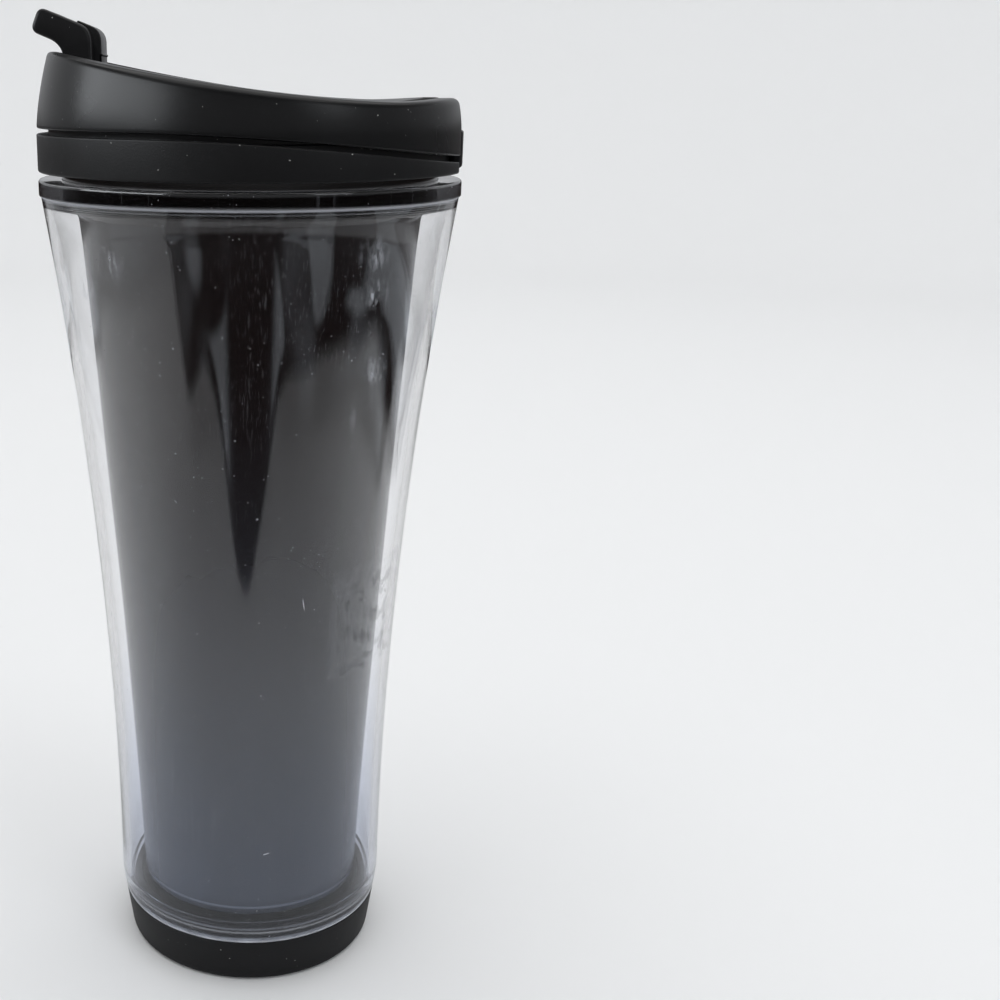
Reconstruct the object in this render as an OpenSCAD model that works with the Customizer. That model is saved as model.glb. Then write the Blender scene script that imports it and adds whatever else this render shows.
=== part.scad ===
// Double-wall travel tumbler with a flip-lever lid.
// Frame: +Z up, origin on the table under the middle of the cup. -X is the drinking side.

/* [Cup] */
// Height from the table to the top of the collar
cup_h = 177.8; // [150:0.1:215]
// Radius of the clear shell just above the foot
shell_low_r = 31.1; // [25.9:0.1:37.4]
// Radius of the clear shell just below the collar
shell_top_r = 44; // [36.6:0.1:53]
// How late the shell flares, where 1 is a straight cone
shell_flare = 1.95; // [1.4:0.05:2.5]
// Thickness of the clear shell
shell_wall = 2; // [1.4:0.1:2.6]
// Height of the rounding where the shell meets the foot
shell_toe_h = 5.2; // [4.8:0.1:8]
// Air between the shell and the liner near the foot
air_gap = 3.6; // [1:0.1:4]

/* [Collar] */
// Height of the collar's outer band
collar_h = 3.4; // [2:0.1:5]
// How far the collar stands proud of the shell
collar_proud = 0.4; // [0.2:0.1:1]
// Width of the collar's top, from its edge to the liner's neck
collar_ring = 4.9; // [4:0.1:6]
// Height of the step under the collar's band
collar_bevel = 0.2; // [0.1:0.1:0.5]
// Depth of the collar's ring down the neck
collar_depth = 5.6; // [4:0.1:7]

/* [Liner] */
// Thickness of the dark liner
liner_wall = 1.8; // [1.2:0.1:2.2]
// How late the liner flares, where 1 is a straight cone
liner_flare = 1.2; // [1:0.05:2]
// Step from the neck in to the liner's side
neck_step = 3.5; // [2.5:0.1:4.5]
// Height of the cove under that step
cove_h = 10; // [6:0.5:14]
// Height of the neck above the collar
neck_rise = 4.6; // [3:0.1:6]
// Rounding of the liner's floor corner
floor_round = 2.4; // [1:0.1:4]

/* [Foot] */
// Height of the foot below the shell
foot_h = 10.8; // [8:0.1:14]
// How far the foot's top is set in from the shell
foot_inset = 0.7; // [0.3:0.1:1.2]
// How far the foot's side leans in towards the table
foot_lean = 1.6; // [0:0.1:2.5]
// Rounding of the foot's lower edge
foot_round = 2; // [1:0.1:3]
// Height of the foot's plug inside the shell
plug_h = 3.9; // [2.5:0.1:4.7]
// Thickness of the foot's walls and floor
foot_wall = 2; // [1.5:0.1:2.5]
// Depth of the recess under the foot
foot_recess = 1.6; // [0.8:0.1:2.4]

/* [Lid base] */
// Gap between the collar and the lid
lid_gap = 1.5; // [1:0.1:2.5]
// Height of the lid's ring on the high side
ring_high = 7.6; // [6:0.1:9]
// Height of the lid's ring on the low side
ring_low = 2; // [1.5:0.1:3]
// Thickness of the deck
deck_t = 1.7; // [1.2:0.1:2.2]
// Thickness of the gasket
gasket_t = 1.7; // [1:0.1:2.2]
// Thickness of the lid's screw plug
lid_plug_t = 1.8; // [1.2:0.1:2.4]
// Length of the screw plug below the liner's rim
lid_plug_l = 10.9; // [8:0.1:11.5]
// Room between the screw plug and the neck for the thread
thread_room = 1.1; // [0.8:0.1:1.4]
// Wall that stands up inside the cap
upstand_t = 2; // [1.4:0.1:2.4]
// Height of that wall above the deck
upstand_h = 3.5; // [2:0.1:4]
// Width of the tongue in the notch
tongue_w = 22.5; // [18:0.1:26]
// Gap between the tongue and the ring's ends beside it
tail_gap = 1.95; // [1:0.05:3]
// Height of the tongue's lower edge above the lid's
tongue_lift = 1; // [0:0.1:1.5]
// Height of the tongue's top above the deck
tongue_up = 1.6; // [0.8:0.1:1.7]
// Length of the drinking hole across the lid
drink_w = 14; // [10:0.5:16]
// Width of the drinking hole along the lid
drink_l = 8; // [6:0.5:9]
// Diameter of the vent hole
vent_d = 1.8; // [1:0.1:2.5]

/* [Lid cap] */
// Seam between the ring and the cap
seam = 1.15; // [0.6:0.05:1.6]
// Height of the low side's rim above the lid's lower edge
crest_low = 14.1; // [12.5:0.1:18]
// How much higher the drinking side's rim is
crest_rise = 9.2; // [6:0.1:12]
// Where the rim is lowest, from the middle of the lid
crest_low_x = 28; // [20:0.5:34]
// How far the cap is set in from the ring
cap_inset = 0.1; // [0:0.1:0.8]
// How far the cap leans in at the top of the drinking side
cap_lean = 2.4; // [0.5:0.1:2.4]
// Thickness of the cap
cap_wall = 2; // [1.4:0.1:2.4]
// Depth of the dish below the rim at its sides
dish_depth = 4.3; // [3.5:0.1:4.8]
// Width of the rim round the dish
dish_rim = 4.9; // [4:0.1:6]
// Clearance between the cap's notch and the tongue
tongue_clear = 0.1; // [0.05:0.05:0.3]
// Thickness of the walls beside the lever
channel_t = 1.5; // [1.2:0.1:2.2]

/* [Flip lever] */
// Gap on each side of the lever
lever_side = 1.6; // [0.6:0.1:2]
// Radius of the hinge barrel
barrel_r = 2.4; // [2:0.05:2.6]
// Radius of the hinge pins
pin_r = 1.2; // [0.9:0.05:1.4]
// How far each hinge pin ends inside the lid's wall
pin_short = 0.3; // [0.1:0.1:0.5]
// Radial clearance of the hinge pins
pin_clear = 0.05; // [0.02:0.01:0.1]
// Clearance under the hinge barrel
barrel_clear = 0.4; // [0.3:0.1:0.6]
// Thickness of the arm
arm_t = 3.7; // [3:0.1:4]
// Gap between the upright and the rim
upright_gap = 0.6; // [0.4:0.1:1]
// Thickness of the upright
upright_t = 6.8; // [5:0.1:7.5]
// How far the ribbed panel stands proud of the upright
panel_proud = 1.7; // [0.8:0.1:2]
// Rounding of the upright's top corner
up_corner = 4; // [2:0.5:5]
// Width of the ribbed panel
panel_w = 11.5; // [8:0.1:13]
// Height of the tab's tip centre above the rim
tab_rise = 5.6; // [4.5:0.1:8]
// How far the tab's tip reaches past the lid, or behind its edge where negative
tab_reach = -1.3; // [-3:0.1:4]
// Slope of the tab
tab_slope = 22; // [10:1:35]
// Thickness of the tab
tab_t = 5; // [4:0.1:6]
// Clearance to the lid when the lever is turned right over
flip_clear = 1.3; // [0.8:0.1:2]
// Clearance round the stopper's nose
nose_clear = 0.4; // [0.3:0.05:0.6]
// Thickness of the stopper's flange
flange_t = 0.5; // [0.3:0.1:0.7]
// Width of that flange round the hole
flange_w = 0.8; // [0.5:0.1:1]
// Radius of the stud that holds the stopper in the arm
stud_r = 1.8; // [1.2:0.1:2.2]
// Length of that stud
stud_l = 2.2; // [1:0.1:2.8]

/* [Hidden] */
$fn = 96;
steps = 24;                                  // points along a swept edge
fit = 0.05;                                  // radial clearance of pieces that stay together
seat = 0.1;                                  // clearance of the soft pieces
far = 120;                                   // longer than any cut has to be

// cup
foot_r = shell_low_r - foot_inset;
bore_r = foot_r - shell_wall;
collar_r = shell_top_r + collar_proud;
collar_z = cup_h - collar_h;
step_z = cup_h - collar_depth;
neck_r = collar_r - collar_ring;
neck_in_r = neck_r - liner_wall;
neck_z = cup_h + neck_rise;
toe_z = foot_h + shell_toe_h;
floor_z = foot_h + plug_h + 3 * seat;
liner_low_r = shell_low_r - shell_wall - air_gap;
liner_top_r = neck_r - neck_step;

// lid
lid_r = collar_r;
lid_z = cup_h + lid_gap;
gasket_z = neck_z + seat;
deck_under = gasket_z + gasket_t + seat;
deck_z = deck_under + deck_t;
core_in = neck_r + 3 * seat;
core_r = core_in + upstand_t;
lid_plug_r = neck_in_r - thread_room;
cap_r = lid_r - cap_inset;
cap_in = core_r + seat;
mouth_r = lid_r - dish_rim;
channel_w = tongue_w + 2 * tongue_clear;
channel_end = mouth_r - 3 * seat;
crest_z = lid_z + crest_low;
rim_high = crest(-mouth_r);
rim_mid = crest(0);
dish_tilt = atan((rim_mid - crest(mouth_r)) / mouth_r);

// lever
lever_w = channel_w - 2 * lever_side;
up_out = channel_end - upright_gap;
up_in = up_out - upright_t;
pivot_x = (lid_r - up_in + panel_proud + flip_clear) / 2;
pivot_z = deck_z + barrel_clear + barrel_r;
arm_z = deck_z + flange_t + seat;
arm_top = arm_z + arm_t;
tip_r = tab_t / 2;
tip_x = -(lid_r + tab_reach - tip_r);
tip_z = rim_high + tab_rise;
drink_x = -(up_in - drink_l / 2 - 1);

function shell_r(z) = shell_low_r + (shell_top_r - shell_low_r)
    * pow((z - toe_z) / (collar_z - toe_z), shell_flare);
function liner_r(z) = liner_low_r + (liner_top_r - liner_low_r)
    * pow((z - floor_z) / (step_z - floor_z), liner_flare);
function cove(z) = z < step_z - cove_h ? 0
    : neck_step * (1 - sqrt(1 - pow((z - step_z + cove_h) / cove_h, 2)));
function crest(x) = crest_z + crest_rise * pow(abs(crest_low_x - x) / (crest_low_x + mouth_r), 1.55);
function ring_top(x) = lid_z + ring_high
    - (ring_high - ring_low) * pow(max(0, x + lid_r / 2) / (1.5 * lid_r), 1.4);
function dish(r) = dish_depth * (pow(r / mouth_r, 2.4) - 1);
function row(a, b, n) = [for (i = [0:n]) a + (b - a) * i / n];
function arc(c, r, a, b, n = 8) = [for (t = row(a, b, n)) c + r * [cos(t), sin(t)]];

// A side view in x and z, carried straight through across y
module across(points, w = far) {
    rotate([90, 0, 0]) linear_extrude(w, center = true) polygon(points);
}

// Everything above a curve over x
module above(heights) {
    across(concat(heights, [[far, far + cup_h], [-far, far + cup_h]]));
}

// The tilted frame of the dish: its origin is the middle of the rim
module in_dish() {
    translate([0, 0, rim_mid]) rotate([0, dish_tilt, 0]) children();
}

module tube(r, r_in, z0, z1) {
    translate([0, 0, z0]) difference() {
        cylinder(r = r, h = z1 - z0);
        translate([0, 0, -1]) cylinder(r = r_in, h = z1 - z0 + 2);
    }
}

// A block of width w across y, between two places along x and two heights
module block(x0, x1, z0, z1, w) {
    translate([x0, -w / 2, z0]) cube([x1 - x0, w, z1 - z0]);
}

module outer_shell() color([0.85, 0.87, 0.92, 0.35]) {
    outside = [for (z = row(toe_z, collar_z, steps)) [shell_r(z), z]];
    inside = [for (z = row(step_z, toe_z, steps)) [shell_r(z) - shell_wall, z]];
    rotate_extrude() polygon(concat(
        [[bore_r, foot_h], [foot_r, foot_h], [foot_r + 0.4 * foot_inset, foot_h + 0.3 * shell_toe_h]],
        outside,
        [[collar_r, collar_z + collar_bevel], [collar_r, cup_h],
         [neck_r + fit, cup_h], [neck_r + fit, step_z]],
        inside,
        [[bore_r, toe_z - 0.3]]));
}

module inner_liner() color([0.08, 0.07, 0.07]) {
    low = floor_z + floor_round;
    side = row(low, step_z, steps);
    round_c = [liner_r(low) - floor_round, low];
    rotate_extrude() polygon(concat(
        [[0, floor_z]],
        arc(round_c, floor_round, -90, 0, 5),
        [for (i = [1:steps]) [liner_r(side[i]) + cove(side[i]), side[i]]],
        [[neck_r, neck_z], [neck_in_r, neck_z], [neck_in_r, step_z - liner_wall]],
        [for (i = [steps - 2:-1:1]) [liner_r(side[i]) + cove(side[i]) - liner_wall, side[i]]],
        [[liner_r(low) - floor_round - 0.5, floor_z + liner_wall], [0, floor_z + liner_wall]]));
}

module base_foot() color([0.05, 0.05, 0.05]) {
    low_r = foot_r - foot_lean;
    plug_r = bore_r - fit;
    rotate_extrude() polygon(concat(
        [[0, foot_recess], [low_r - foot_round - foot_wall, foot_recess],
         [low_r - foot_round - foot_wall + foot_recess / 2, 0]],
        arc([low_r - foot_round, foot_round], foot_round, -90, 0, 6),
        [[foot_r, foot_h], [plug_r, foot_h], [plug_r, foot_h + plug_h],
         [plug_r - foot_wall, foot_h + plug_h], [plug_r - foot_wall, foot_recess + foot_wall],
         [0, foot_recess + foot_wall]]));
}

module drink_hole(clear, z0, z1) {
    r = drink_l / 2 - clear;
    reach = (drink_w - drink_l) / 2;
    for (s = [-1, 1]) translate([drink_x, s * reach, z0]) cylinder(r = r, h = z1 - z0);
    block(drink_x - r, drink_x + r, z0, z1, 2 * reach);
}

module lid_base() color([0.07, 0.07, 0.07]) {
    difference() {
        union() {
            tube(lid_plug_r, lid_plug_r - lid_plug_t, neck_z - lid_plug_l, deck_z);
            translate([0, 0, deck_under]) cylinder(r = core_r, h = deck_t);
            tube(core_r, core_in, lid_z, deck_z);
            // the wall inside the cap, open where the lever lies
            difference() {
                tube(core_r, core_in, deck_z - deck_t / 2, deck_z + upstand_h);
                block(-far, far, deck_z, far + cup_h, channel_w + 3 * channel_t);
            }
            // the outer ring with its swept edge, open at the tongue
            difference() {
                tube(lid_r, core_in + upstand_t / 2, lid_z, lid_z + ring_high);
                above([for (x = row(-lid_r - 1, lid_r + 1, steps)) [x, ring_top(x)]]);
                block(0, far, 0, far + cup_h, tongue_w + 2 * tail_gap);
            }
            // the tongue
            intersection() {
                tube(lid_r, core_in, lid_z + tongue_lift, deck_z + tongue_up);
                block(0, far, 0, far + cup_h, tongue_w);
            }
        }
        drink_hole(0, deck_under - 1, deck_z + 1);
        translate([0, 0, deck_under - 1]) cylinder(d = vent_d, h = deck_t + 2);
    }
}

module dish_cut() {
    in_dish() rotate_extrude() polygon(concat(
        [for (r = row(0, mouth_r, 12)) [r, dish(r)]],
        [[mouth_r + 0.6, far / 4], [0, far / 4]]));
}

// The room under the cap, below its dish and its rim
module cap_hollow() {
    edge = row(-lid_r, lid_r, steps);
    intersection() {
        translate([0, 0, lid_z - 1]) cylinder(r = cap_in, h = far / 2);
        across(concat([[lid_r, 0], [-lid_r, 0]], [for (x = edge) [x, crest(x) - cap_wall]]));
        in_dish() rotate_extrude() polygon(concat(
            [[0, -far / 2], [cap_in + 2, -far / 2], [cap_in + 2, far / 4],
             [mouth_r + cap_wall / 2, far / 4], [mouth_r + cap_wall / 2, dish(mouth_r) - cap_wall]],
            [for (r = row(mouth_r, 0, 12)) [r, dish(r) - cap_wall]]));
    }
}

module hinge_axis(r, w) {
    translate([pivot_x, 0, pivot_z]) rotate([90, 0, 0]) cylinder(r = r, h = w, center = true);
}

module lid_cap() color([0.03, 0.03, 0.03]) {
    wall_w = channel_w + 2 * channel_t;
    edge = row(-lid_r - 1, lid_r + 1, steps);
    difference() {
        intersection() {
            rotate_extrude() polygon([[0, lid_z], [cap_r, lid_z], [cap_r, deck_z + 3],
                [cap_r - cap_lean, rim_high + 1], [0, rim_high + 1]]);
            across(concat([for (x = edge) [x, ring_top(x) + seam]],
                [for (i = [steps:-1:0]) [edge[i], crest(edge[i])]]));
        }
        dish_cut();
        difference() {
            cap_hollow();
            block(-channel_end - channel_t, far, deck_z + seat, far + cup_h, wall_w);
        }
        block(-channel_end, far, 0, far + cup_h, channel_w);
        hinge_axis(pin_r + pin_clear, wall_w + 1);
    }
}

module flip_lever() color([0.05, 0.05, 0.05]) {
    out = [sin(tab_slope), cos(tab_slope)];
    tip = [tip_x, tip_z];
    chamfer = 1;
    under = tip - tip_r * out;
    top = tip + tip_r * out;
    under_z = under[1] - (-under[0] - up_out) * tan(tab_slope);
    corner_c = [-up_in - up_corner,
        top[1] - (-up_in - up_corner - top[0]) * tan(tab_slope) - up_corner / cos(tab_slope)];
    difference() {
        union() {
            hinge_axis(barrel_r, lever_w);
            hinge_axis(pin_r, channel_w + 2 * (channel_t - pin_short));
            block(-up_out + chamfer, pivot_x, arm_z, arm_top, lever_w);
            across(concat(
                [[-up_in, arm_z], [-up_out + chamfer, arm_z], [-up_out, arm_z + chamfer],
                 [-up_out, under_z]],
                arc(tip, tip_r, 270 - tab_slope, 90 - tab_slope, 10),
                arc(corner_c, up_corner, 90 - tab_slope, 0, 5)), lever_w);
            // the ribbed panel, which leans back into the top corner
            across([[-up_in - chamfer, arm_z + chamfer], [-up_in + panel_proud, arm_z + chamfer],
                [-up_in + panel_proud, corner_c[1] - up_corner / 2],
                [corner_c[0] + up_corner / 2, corner_c[1] + up_corner]], panel_w);
        }
        translate([drink_x, 0, arm_z - 1]) cylinder(r = stud_r, h = stud_l + 1);  // the stopper's stud
    }
}

module spout_plug() color([0.12, 0.12, 0.12]) {
    translate([drink_x, 0, arm_z - flange_t]) cylinder(r = stud_r - fit, h = flange_t + stud_l - fit);
    drink_hole(-flange_w, arm_z - flange_t, arm_z);
    drink_hole(nose_clear, deck_under + 3 * seat, arm_z);
}

module lid_gasket() color([0.15, 0.15, 0.15]) {
    tube(core_in - seat, lid_plug_r + seat, gasket_z, gasket_z + gasket_t);
}

outer_shell();
inner_liner();
base_foot();
lid_base();
lid_cap();
flip_lever();
spout_plug();
lid_gasket();
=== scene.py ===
import math

import bpy
import bmesh
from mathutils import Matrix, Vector


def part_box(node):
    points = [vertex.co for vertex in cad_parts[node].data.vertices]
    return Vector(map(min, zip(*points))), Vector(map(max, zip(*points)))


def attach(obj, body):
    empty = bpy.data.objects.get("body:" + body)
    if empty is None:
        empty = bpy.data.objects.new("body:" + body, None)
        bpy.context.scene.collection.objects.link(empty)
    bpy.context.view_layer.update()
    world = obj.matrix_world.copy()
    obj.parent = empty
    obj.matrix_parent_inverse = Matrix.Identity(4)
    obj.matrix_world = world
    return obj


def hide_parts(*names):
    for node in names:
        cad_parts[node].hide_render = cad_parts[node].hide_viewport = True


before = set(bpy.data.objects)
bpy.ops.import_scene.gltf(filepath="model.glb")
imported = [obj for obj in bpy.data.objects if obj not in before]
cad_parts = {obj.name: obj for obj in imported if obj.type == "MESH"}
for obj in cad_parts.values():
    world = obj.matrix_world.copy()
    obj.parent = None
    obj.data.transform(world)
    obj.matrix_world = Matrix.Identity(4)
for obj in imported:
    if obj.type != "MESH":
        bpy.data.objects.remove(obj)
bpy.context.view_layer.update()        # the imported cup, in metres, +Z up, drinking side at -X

mm = 0.001


# small tools

def nodeBox(node):                      # a node's corners, in millimetres
    low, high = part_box(node)
    return [v / mm for v in low], [v / mm for v in high]


def spread(start, end, count):
    return [start + (end - start) * i / count for i in range(count + 1)]


def rounded(corners, steps=5, closed=True):      # corners are (a, b, radius)
    path = []
    last = len(corners) - 1
    for i, (a, b, radius) in enumerate(corners):
        here = Vector((a, b))
        if radius <= 0 or (not closed and i in (0, last)):
            path.append(here)
            continue
        before = Vector(corners[i - 1][:2]) - here
        after = Vector(corners[(i + 1) % (last + 1)][:2]) - here
        turn = before.angle(after)
        cut = min(radius / math.tan(turn / 2), before.length * 0.49, after.length * 0.49)
        start = here + before.normalized() * cut
        end = here + after.normalized() * cut
        for k in range(steps + 1):
            t = k / steps
            path.append(start * (1 - t) ** 2 + here * 2 * t * (1 - t) + end * t * t)
    return path


def inset(loop, amount):                # a closed outline moved inwards
    count = len(loop)
    area = sum(loop[i - 1].x * loop[i].y - loop[i].x * loop[i - 1].y for i in range(count))
    side = 1 if area > 0 else -1
    moved = []
    for i in range(count):
        along = loop[(i + 1) % count] - loop[i - 1]
        normal = Vector((-along.y, along.x)).normalized() * side
        moved.append(loop[i] + normal * amount)
    return moved


def roundEnd(radius, steps=4):          # (distance from the end, inset) pairs of a rounded end
    turns = [math.pi / 2 * k / steps for k in range(steps + 1)]
    return [(radius * (1 - math.cos(t)), radius * (1 - math.sin(t))) for t in turns]


def lathe(profile, segments=192, ring=True):
    verts = []
    for s in range(segments):
        turn = 2 * math.pi * s / segments
        verts += [(p[0] * math.cos(turn), p[0] * math.sin(turn), p[1]) for p in profile]
    count = len(profile)
    faces = []
    for s in range(segments):
        a, b = s * count, (s + 1) % segments * count
        for k in range(count if ring else count - 1):
            m = (k + 1) % count
            faces.append((a + k, b + k, b + m, a + m))
    return verts, faces


def loft(sections):                     # closed outlines in a row, both ends filled
    count = len(sections[0])
    verts = [tuple(p) for section in sections for p in section]
    faces = []
    for s in range(len(sections) - 1):
        a, b = s * count, (s + 1) * count
        for k in range(count):
            m = (k + 1) % count
            faces.append((a + k, a + m, b + m, b + k))
    faces.append(tuple(range(count))[::-1])
    faces.append(tuple(range(len(verts) - count, len(verts))))
    return verts, faces


def joined(*parts):
    verts, faces = [], []
    for partVerts, partFaces in parts:
        faces += [tuple(i + len(verts) for i in face) for face in partFaces]
        verts += partVerts
    return verts, faces


def makeMesh(name, shape, sharp=40):
    verts, faces = shape
    mesh = bpy.data.meshes.new(name)
    mesh.from_pydata([Vector(v) * mm for v in verts], [], faces)
    work = bmesh.new()
    work.from_mesh(mesh)
    bmesh.ops.remove_doubles(work, verts=work.verts, dist=2e-6)
    bmesh.ops.dissolve_degenerate(work, edges=work.edges, dist=1e-6)
    bmesh.ops.triangulate(work, faces=[f for f in work.faces if len(f.verts) > 4])
    bmesh.ops.recalc_face_normals(work, faces=work.faces)
    work.to_mesh(mesh)
    work.free()
    mesh.shade_smooth()
    mesh.set_sharp_from_angle(angle=math.radians(sharp))
    return mesh


def makePiece(name, shape, material, body, nodes, sharp=40):
    piece = bpy.data.objects.new(name, makeMesh(name, shape, sharp))
    bpy.context.scene.collection.objects.link(piece)
    piece.data.materials.append(material)
    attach(piece, body)
    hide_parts(*nodes)
    print("piece", name, len(piece.data.polygons), "faces")
    return piece


def cutWith(piece, shape):              # takes a shape out of a piece
    cutter = bpy.data.objects.new("cutter", makeMesh("cutter", shape))
    bpy.context.scene.collection.objects.link(cutter)
    cut = piece.modifiers.new("cut", "BOOLEAN")
    cut.operation = "DIFFERENCE"
    cut.solver = "EXACT"
    cut.object = cutter
    result = bpy.data.meshes.new_from_object(piece.evaluated_get(bpy.context.evaluated_depsgraph_get()))
    piece.modifiers.clear()
    piece.data = result
    bpy.data.objects.remove(cutter)


# shader maths

class Flow:                             # a socket that sums and products can be written with
    def __init__(self, paint, socket):
        self.paint = paint
        self.socket = socket

    def __add__(self, other):
        return self.paint.maths("ADD", self, other)

    def __sub__(self, other):
        return self.paint.maths("SUBTRACT", self, other)

    def __rsub__(self, other):
        return self.paint.maths("SUBTRACT", other, self)

    def __mul__(self, other):
        return self.paint.maths("MULTIPLY", self, other)

    def __truediv__(self, other):
        return self.paint.maths("DIVIDE", self, other)

    __radd__ = __add__
    __rmul__ = __mul__


class Paint:                            # one material and its nodes
    def __init__(self, name):
        self.material = bpy.data.materials.new(name)
        self.material.use_nodes = True
        self.tree = self.material.node_tree
        self.tree.nodes.clear()

    def add(self, kind, settings=None, inputs=None, out=0):
        node = self.tree.nodes.new(kind)
        for key, value in (settings or {}).items():
            if key == "stops":
                for i, (place, shade) in enumerate(value):
                    stop = node.color_ramp.elements[i] if i < 2 else node.color_ramp.elements.new(place)
                    stop.position = place
                    stop.color = (*shade, 1)
            else:
                setattr(node, key, value)
        for key, value in (inputs or {}).items():
            socket = node.inputs[key]
            if isinstance(value, Flow):
                self.tree.links.new(value.socket, socket)
            elif socket.type == "RGBA" and len(value) == 3:
                socket.default_value = (*value, 1)
            else:
                socket.default_value = value
        return Flow(self, node.outputs[out] if node.outputs else None)

    def maths(self, operation, first, second=0.0, third=0.0):
        return self.add("ShaderNodeMath", {"operation": operation}, {0: first, 1: second, 2: third})

    def within(self, value, low, high):          # 0 below low, 1 above high, smooth between
        settings = {"interpolation_type": "SMOOTHSTEP"}
        return self.add("ShaderNodeMapRange", settings, {0: value, 1: low, 2: high, 3: 0.0, 4: 1.0})

    def blend(self, factor, first, second):      # colours
        settings = {"data_type": "RGBA"}
        return self.add("ShaderNodeMix", settings, {0: factor, 6: first, 7: second}, out=2)

    def place(self):                             # object coordinates, in metres
        return self.add("ShaderNodeTexCoord", out="Object")

    def stretched(self, scale, turn=(0, 0, 0)):
        return self.add("ShaderNodeMapping", None, {"Vector": self.place(), "Scale": scale, "Rotation": turn})

    def grain(self, scale, detail=2.0, vector=None):
        inputs = {"Vector": vector or self.place(), "Scale": scale, "Detail": detail}
        return self.add("ShaderNodeTexNoise", None, inputs)

    def axes(self):                              # x, y and z as numbers
        split = self.add("ShaderNodeSeparateXYZ", None, {0: self.place()})
        return [Flow(self, split.socket.node.outputs[i]) for i in range(3)]

    def bump(self, height, distance, strength=1.0):
        inputs = {"Height": height, "Distance": distance, "Strength": strength}
        return self.add("ShaderNodeBump", None, inputs)

    def spot(self, centre, size, fade=0.5):      # 1 at a place on the surface, fading to 0 at size
        away = self.add("ShaderNodeVectorMath", {"operation": "DISTANCE"},
                        {0: self.place(), 1: centre}, out="Value")
        return 1 - self.within(away, size * (1 - fade), size)

    def stroke(self, start, end, width):         # 1 along a thin straight line
        span = Vector(end) - Vector(start)
        rate = span / span.length_squared
        away = self.add("ShaderNodeVectorMath", {"operation": "SUBTRACT"}, {0: self.place(), 1: start})
        along = self.add("ShaderNodeVectorMath", {"operation": "DOT_PRODUCT"},
                         {0: away, 1: rate}, out="Value")
        along = self.maths("MINIMUM", self.maths("MAXIMUM", along, 0.0), 1.0)
        nearest = self.add("ShaderNodeVectorMath", {"operation": "SCALE"}, {0: span, "Scale": along})
        off = self.add("ShaderNodeVectorMath", {"operation": "DISTANCE"}, {0: away, 1: nearest}, out="Value")
        return 1 - self.within(off, width * 0.5, width)

    def plastic(self, inputs):
        return self.add("ShaderNodeBsdfPrincipled", None, inputs)

    def finish(self, shader):
        self.add("ShaderNodeOutputMaterial", None, {"Surface": shader})
        return self.material


# cup

shellLow, shellHigh = nodeBox("outer_shell")
linerLow, linerHigh = nodeBox("inner_liner")
footHigh = nodeBox("base_foot")[1]
cupTop = shellHigh[2]
footTop = shellLow[2]
collarRadius = shellHigh[0]
neckRadius = linerHigh[0]

shell = {
    "wall": 2.0, "lowRadius": 31.1, "topRadius": 44.0, "flare": 1.95, "toe": 5.2,
    "collar": 3.4, "ringDepth": 4.2, "fit": 0.05,
}


def shellRadius(z):
    start = footTop + shell["toe"]
    end = cupTop - shell["collar"]
    t = max(0, (z - start) / (end - start))
    return shell["lowRadius"] + (shell["topRadius"] - shell["lowRadius"]) * t ** shell["flare"]


def shellShape():
    toe = footTop + shell["toe"]
    collarZ = cupTop - shell["collar"]
    ringZ = cupTop - shell["ringDepth"]
    footRadius = footHigh[0]
    bore = footRadius - shell["wall"]
    neck = neckRadius + shell["fit"]
    outside = [(shellRadius(z), z, 0) for z in spread(toe, collarZ, 48)]
    inside = [(shellRadius(z) - shell["wall"], z, 0) for z in spread(ringZ, toe, 48)]
    return lathe(rounded(
        [(bore, footTop, 0.25), (footRadius, footTop, 0.6), (footRadius + 0.3, footTop + 1.6, 1.0)]
        + outside[:-1]
        + [(outside[-1][0], collarZ, 0.15), (collarRadius, collarZ + 0.15, 0.25),
           (collarRadius, cupTop, 0.7), (neck, cupTop, 0.2), (neck, ringZ, 0.9)]
        + [(inside[0][0], ringZ, 1.2)] + inside[2:]
        + [(bore, toe - 0.3, 0.4)]), 256)


liner = {
    "wall": 1.8, "lowRadius": 25.5, "flare": 1.2, "neckStep": 3.0, "cove": 3.0, "floorRound": 2.4,
}


def linerRadius(z):
    stepZ = cupTop - shell["ringDepth"]
    floorZ = linerLow[2]
    top = neckRadius - liner["neckStep"]
    t = (z - floorZ) / (stepZ - floorZ)
    radius = liner["lowRadius"] + (top - liner["lowRadius"]) * t ** liner["flare"]
    rise = (z - stepZ + liner["cove"]) / liner["cove"]
    if rise > 0:
        radius += liner["neckStep"] * (1 - math.sqrt(max(0, 1 - rise ** 2)))
    return radius


def linerShape():
    stepZ = cupTop - shell["ringDepth"]
    floorZ = linerLow[2]
    neckTop = linerHigh[2]
    wall = liner["wall"]
    low = floorZ + liner["floorRound"] + 1
    cove = [stepZ - liner["cove"] * (1 - math.sin(t)) for t in spread(0, math.pi / 2, 14)]
    side = spread(low, stepZ - liner["cove"], 36)[:-1] + cove[:-1]
    outside = [(linerRadius(z), z, 0) for z in side]
    inside = [(linerRadius(z) - wall, z, 0) for z in side[-3::-1]]
    return lathe(rounded(
        [(0, floorZ, 0), (linerRadius(floorZ), floorZ, liner["floorRound"])] + outside
        + [(neckRadius, stepZ - 0.05, 0), (neckRadius, neckTop, 0.6), (neckRadius - wall, neckTop, 0.6),
           (neckRadius - wall, stepZ - wall, 0.8)] + inside
        + [(linerRadius(floorZ) - wall, floorZ + wall, 2.0), (0, floorZ + wall, 0)],
        closed=False), 256, ring=False)


foot = {"lean": 1.6, "round": 2.0, "wall": 2.0, "recess": 1.6, "topRound": 0.35}


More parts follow.
